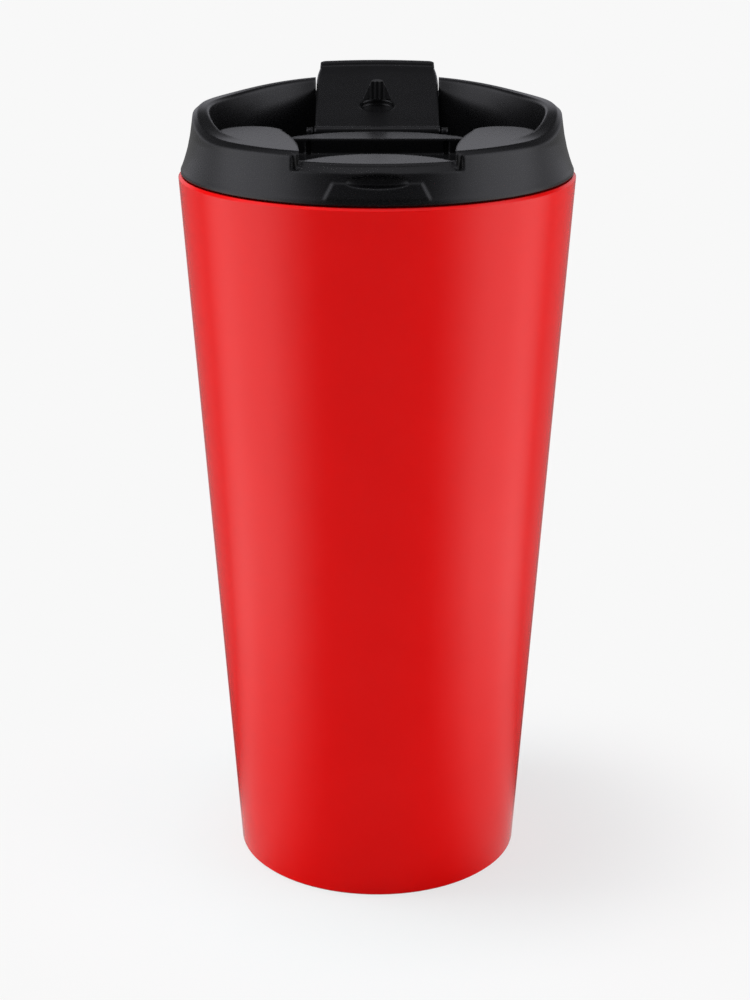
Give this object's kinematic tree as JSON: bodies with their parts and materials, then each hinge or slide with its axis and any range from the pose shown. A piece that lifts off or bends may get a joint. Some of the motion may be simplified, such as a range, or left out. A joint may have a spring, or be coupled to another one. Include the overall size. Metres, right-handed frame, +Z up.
{
  "type": "insulated travel mug",
  "caption": "Tapered double-wall steel travel mug with a push-in plastic lid and a hinged flap that closes the drinking opening.",
  "frame": {"origin": "centre of the foot, on the surface the mug stands on", "axes": "+Z up along the mug's axis, -Y towards the drinking side, +X to the right seen from the drinking side"},
  "size_m": [0.0839, 0.0899, 0.1727],
  "materials": {
    "red_shell": "gloss",
    "steel": "brushed",
    "black_plastic": "satin",
    "black_silicone": "matte"
  },
  "bodies": {
    "mug": {"outer_shell": "red_shell", "inner_liner": "steel", "base_plate": "steel"},
    "lid": {"lid_collar": "black_plastic", "lid_plug": "black_plastic", "lid_seal": "black_silicone"},
    "flap": {"flap": "black_plastic", "stopper": "black_silicone"}
  },
  "joints": [
    {"name": "lid_lift", "type": "slide", "parent": "mug", "child": "lid", "axis": [0, 0, 1], "range_m": [0, 0.03]},
    {"name": "flap_hinge", "type": "hinge", "parent": "lid", "child": "flap", "pos_m": [0, 0.0045, 0.1629], "axis": [1, 0, 0], "range_deg": [0, 167]}
  ]
}
